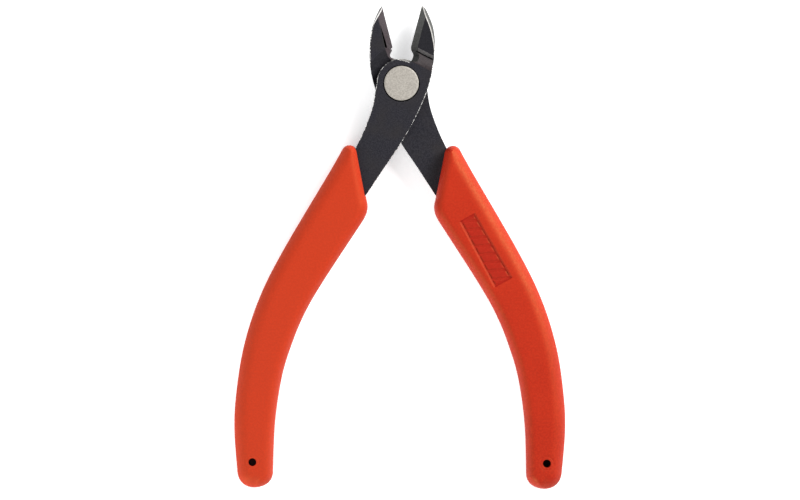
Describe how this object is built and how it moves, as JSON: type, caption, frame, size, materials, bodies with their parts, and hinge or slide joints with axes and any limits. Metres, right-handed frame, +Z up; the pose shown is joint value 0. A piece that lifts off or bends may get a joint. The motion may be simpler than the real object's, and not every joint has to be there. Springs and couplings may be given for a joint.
{
  "type": "diagonal cutting pliers",
  "caption": "Slim flush-cutting pliers: two flat black steel halves lapped at one broad flat rivet, short pointed shear jaws, and curved moulded rubber grips held open by a hidden wire spring.",
  "frame": {"origin": "middle of the footprint, on the surface the tool lies on", "axes": "+X to the right across the tool, +Y toward the jaws, +Z up out of the face with the rivet head"},
  "size_m": [0.0952, 0.1388, 0.011],
  "materials": {
    "black_steel": "matt black oxide, ground bright along the jaw edges",
    "rivet_steel": "satin bare steel",
    "spring_steel": "drawn wire",
    "grip_rubber": "matt moulded rubber, orange red"
  },
  "bodies": {
    "rear_half": {"rear_lever": "black_steel", "right_grip": "grip_rubber", "pivot_rivet": "rivet_steel", "pivot_washer": "rivet_steel", "return_spring": "spring_steel"},
    "front_half": {"front_lever": "black_steel", "left_grip": "grip_rubber"}
  },
  "joints": [
    {"name": "pivot_hinge", "type": "hinge", "parent": "rear_half", "child": "front_half", "pos_m": [0, 0.04705, 0.0055], "axis": [0, 0, 1], "range_deg": [0, 28], "stiffness_Nm_per_rad": 0.6, "springref_deg": -8.59, "deforming": ["return_spring"]}
  ]
}
